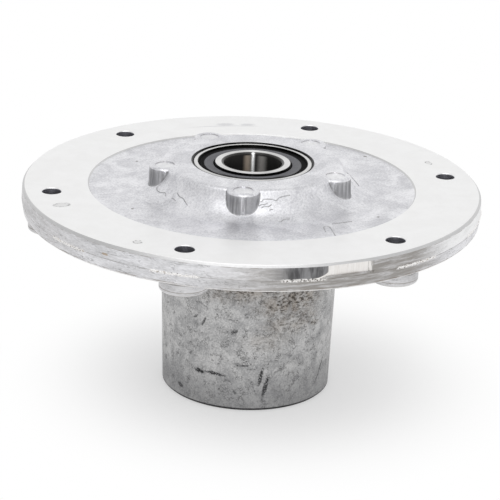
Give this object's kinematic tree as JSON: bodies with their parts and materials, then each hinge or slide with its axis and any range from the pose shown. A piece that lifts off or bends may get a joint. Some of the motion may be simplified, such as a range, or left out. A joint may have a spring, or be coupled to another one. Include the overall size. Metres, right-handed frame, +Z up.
{
  "type": "mower deck spindle housing",
  "caption": "Cast aluminium mower deck spindle housing: round bolt-on flange, raised hub with lugs, drafted tube, and a sealed ball bearing at each end of the bore.",
  "frame": {"origin": "centre of the tube's lower end face, which the part stands on", "axes": "+Z up the bore axis towards the hub; +X through the middle of a bolt hole"},
  "size_m": [0.2006, 0.2006, 0.1024],
  "materials": {
    "cast_aluminium": "as-cast satin grey, with a bright machined ring on the flange",
    "bearing_steel": "ground bearing steel",
    "ball_steel": "polished balls",
    "cage_steel": "pressed sheet steel",
    "turned_steel": "turned steel tube",
    "seal_rubber": "black moulded rubber with a grey face"
  },
  "bodies": {
    "housing": {"housing": "cast_aluminium", "upper_outer_ring": "bearing_steel", "upper_top_seal": "seal_rubber", "upper_bottom_seal": "seal_rubber", "lower_outer_ring": "bearing_steel", "lower_top_seal": "seal_rubber", "lower_bottom_seal": "seal_rubber"},
    "upper_inner": {"upper_inner_ring": "bearing_steel"},
    "upper_rolling": {"upper_cage_top": "cage_steel", "upper_cage_bottom": "cage_steel", "upper_cage_rivets": "cage_steel", "upper_ball_1": "ball_steel", "upper_ball_2": "ball_steel", "upper_ball_3": "ball_steel", "upper_ball_4": "ball_steel", "upper_ball_5": "ball_steel", "upper_ball_6": "ball_steel", "upper_ball_7": "ball_steel", "upper_ball_8": "ball_steel", "upper_ball_9": "ball_steel"},
    "lower_inner": {"lower_inner_ring": "bearing_steel", "spacer_sleeve": "turned_steel"},
    "lower_rolling": {"lower_cage_top": "cage_steel", "lower_cage_bottom": "cage_steel", "lower_cage_rivets": "cage_steel", "lower_ball_1": "ball_steel", "lower_ball_2": "ball_steel", "lower_ball_3": "ball_steel", "lower_ball_4": "ball_steel", "lower_ball_5": "ball_steel", "lower_ball_6": "ball_steel", "lower_ball_7": "ball_steel", "lower_ball_8": "ball_steel", "lower_ball_9": "ball_steel"}
  },
  "joints": [
    {"name": "upper_ring_spin", "type": "hinge", "parent": "housing", "child": "upper_inner", "pos_m": [0, 0, 0.09455], "axis": [0, 0, 1], "continuous": true},
    {"name": "upper_balls_orbit", "type": "hinge", "parent": "housing", "child": "upper_rolling", "pos_m": [0, 0, 0.09455], "axis": [0, 0, 1], "continuous": true},
    {"name": "lower_ring_spin", "type": "hinge", "parent": "housing", "child": "lower_inner", "pos_m": [0, 0, 0.009], "axis": [0, 0, 1], "continuous": true},
    {"name": "lower_balls_orbit", "type": "hinge", "parent": "housing", "child": "lower_rolling", "pos_m": [0, 0, 0.009], "axis": [0, 0, 1], "continuous": true}
  ],
  "couplings": [
    {"joint": "upper_balls_orbit", "follows": "upper_ring_spin", "ratio": 0.3974},
    {"joint": "lower_balls_orbit", "follows": "lower_ring_spin", "ratio": 0.3974}
  ]
}
